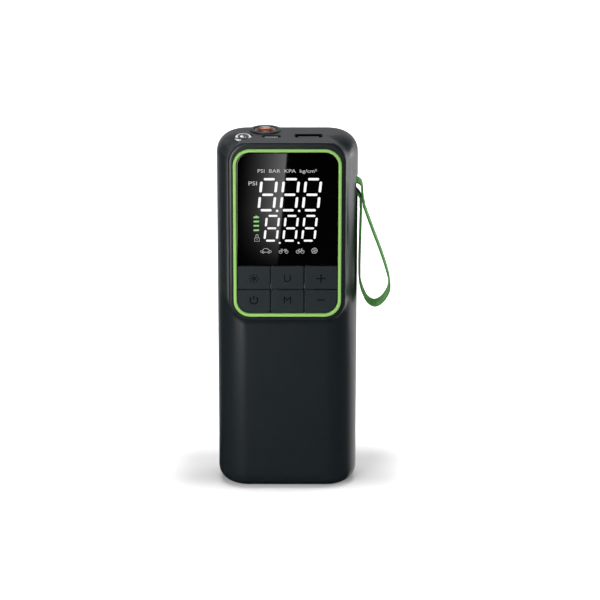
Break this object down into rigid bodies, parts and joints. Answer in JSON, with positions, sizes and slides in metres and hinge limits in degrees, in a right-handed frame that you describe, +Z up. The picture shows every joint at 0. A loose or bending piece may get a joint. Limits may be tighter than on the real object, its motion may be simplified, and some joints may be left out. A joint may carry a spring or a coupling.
{
  "type": "portable tire inflator",
  "caption": "Slim upright portable tire inflator with a raised display and key panel, an air outlet, charging sockets and a work lamp on top, and a ribbon wrist strap.",
  "frame": {"origin": "middle of the flat base that the inflator stands on", "axes": "+Z up along the case, +X to the right of the display and towards the wrist strap, +Y from the display towards the rear cover"},
  "size_m": [0.0875, 0.0362, 0.1856],
  "materials": {
    "case_plastic": "dark grey moulded ABS, fine satin texture",
    "key_plastic": "dark grey moulded key, satin",
    "trim_plastic": "leaf green satin moulding",
    "screen": "black glossy acrylic",
    "display_black": "black moulded plastic",
    "silicone": "pale translucent silicone",
    "circuit_board": "green solder resist",
    "dark_screw": "black zinc, satin",
    "lamp_clear": "clear moulded lens",
    "bright_metal": "bright nickel plate",
    "outlet_brass": "turned brass, bright",
    "steel": "plain ground steel",
    "black_rubber": "black rubber",
    "strap_ribbon": "woven green ribbon",
    "cradle_plastic": "black moulded plastic",
    "cell_wrap": "blue shrink sleeve",
    "cast_aluminium": "cast and turned aluminium",
    "nylon": "natural nylon"
  },
  "bodies": {
    "housing": {"main_housing": "case_plastic", "rear_cover": "case_plastic", "trim_ring": "trim_plastic", "display_lens": "screen", "display_module": "display_black", "keypad_mat": "silicone", "control_board": "circuit_board", "rear_screw_1": "dark_screw", "rear_screw_2": "dark_screw", "rear_screw_3": "dark_screw", "rear_screw_4": "dark_screw", "lamp_lens": "lamp_clear", "lamp_reflector": "bright_metal", "lamp_board": "circuit_board", "wide_socket_shell": "bright_metal", "wide_socket_tongue": "display_black", "slim_socket_shell": "bright_metal", "slim_socket_tongue": "display_black", "outlet_nozzle": "outlet_brass", "nozzle_nut": "steel", "outlet_seal": "black_rubber", "air_tube": "silicone", "pressure_sensor": "display_black", "strap_bar": "steel", "cell_cradle_lower": "cradle_plastic", "cell_cradle_upper": "cradle_plastic", "battery_cell_left": "cell_wrap", "battery_cell_right": "cell_wrap", "power_board": "circuit_board", "pump_frame": "cast_aluminium", "pump_cylinder": "cast_aluminium", "cylinder_head": "cast_aluminium", "outlet_valve": "steel", "crank_bush": "steel", "motor_can": "steel", "motor_end_cap": "display_black"},
    "strap": {"wrist_strap": "strap_ribbon"},
    "power_key": {"key_power": "key_plastic"},
    "mode_key": {"key_mode": "key_plastic"},
    "minus_key": {"key_minus": "key_plastic"},
    "light_key": {"key_light": "key_plastic"},
    "unit_key": {"key_unit": "key_plastic"},
    "plus_key": {"key_plus": "key_plastic"},
    "pump_piston": {"piston": "nylon", "piston_seal": "black_rubber", "gudgeon_pin": "steel"},
    "pump_rod": {"connecting_rod": "cast_aluminium", "rod_bearing": "steel", "crank_pin": "steel"},
    "pump_crank": {"crank_gear": "nylon", "crank_shaft": "steel"},
    "motor_rotor": {"motor_shaft": "steel", "motor_pinion": "outlet_brass"}
  },
  "joints": [
    {"name": "strap_swing", "type": "hinge", "parent": "housing", "child": "strap", "pos_m": [0.0316, 0, 0.157], "axis": [0, -1, 0], "range_deg": [0, 65]},
    {"name": "power_key_press", "type": "slide", "parent": "housing", "child": "power_key", "axis": [0, 1, 0], "range_m": [0, 0.0006], "stiffness_N_per_m": 400},
    {"name": "mode_key_press", "type": "slide", "parent": "housing", "child": "mode_key", "axis": [0, 1, 0], "range_m": [0, 0.0006], "stiffness_N_per_m": 400},
    {"name": "minus_key_press", "type": "slide", "parent": "housing", "child": "minus_key", "axis": [0, 1, 0], "range_m": [0, 0.0006], "stiffness_N_per_m": 400},
    {"name": "light_key_press", "type": "slide", "parent": "housing", "child": "light_key", "axis": [0, 1, 0], "range_m": [0, 0.0006], "stiffness_N_per_m": 400},
    {"name": "unit_key_press", "type": "slide", "parent": "housing", "child": "unit_key", "axis": [0, 1, 0], "range_m": [0, 0.0006], "stiffness_N_per_m": 400},
    {"name": "plus_key_press", "type": "slide", "parent": "housing", "child": "plus_key", "axis": [0, 1, 0], "range_m": [0, 0.0006], "stiffness_N_per_m": 400},
    {"name": "piston_stroke", "type": "slide", "parent": "housing", "child": "pump_piston", "axis": [0, 0, 1], "range_m": [0, 0.01]},
    {"name": "rod_swing", "type": "hinge", "parent": "pump_piston", "child": "pump_rod", "pos_m": [-0.0145, 0.002, 0.1439], "axis": [1, 0, 0], "range_deg": [-12, 12]},
    {"name": "crank_spin", "type": "hinge", "parent": "housing", "child": "pump_crank", "pos_m": [-0.0145, 0.002, 0.1249], "axis": [1, 0, 0], "continuous": true},
    {"name": "rotor_spin", "type": "hinge", "parent": "housing", "child": "motor_rotor", "pos_m": [-0.0145, 0.002, 0.1105], "axis": [1, 0, 0], "continuous": true}
  ],
  "couplings": [
    {"joint": "rotor_spin", "follows": "crank_spin", "ratio": -3.5}
  ]
}
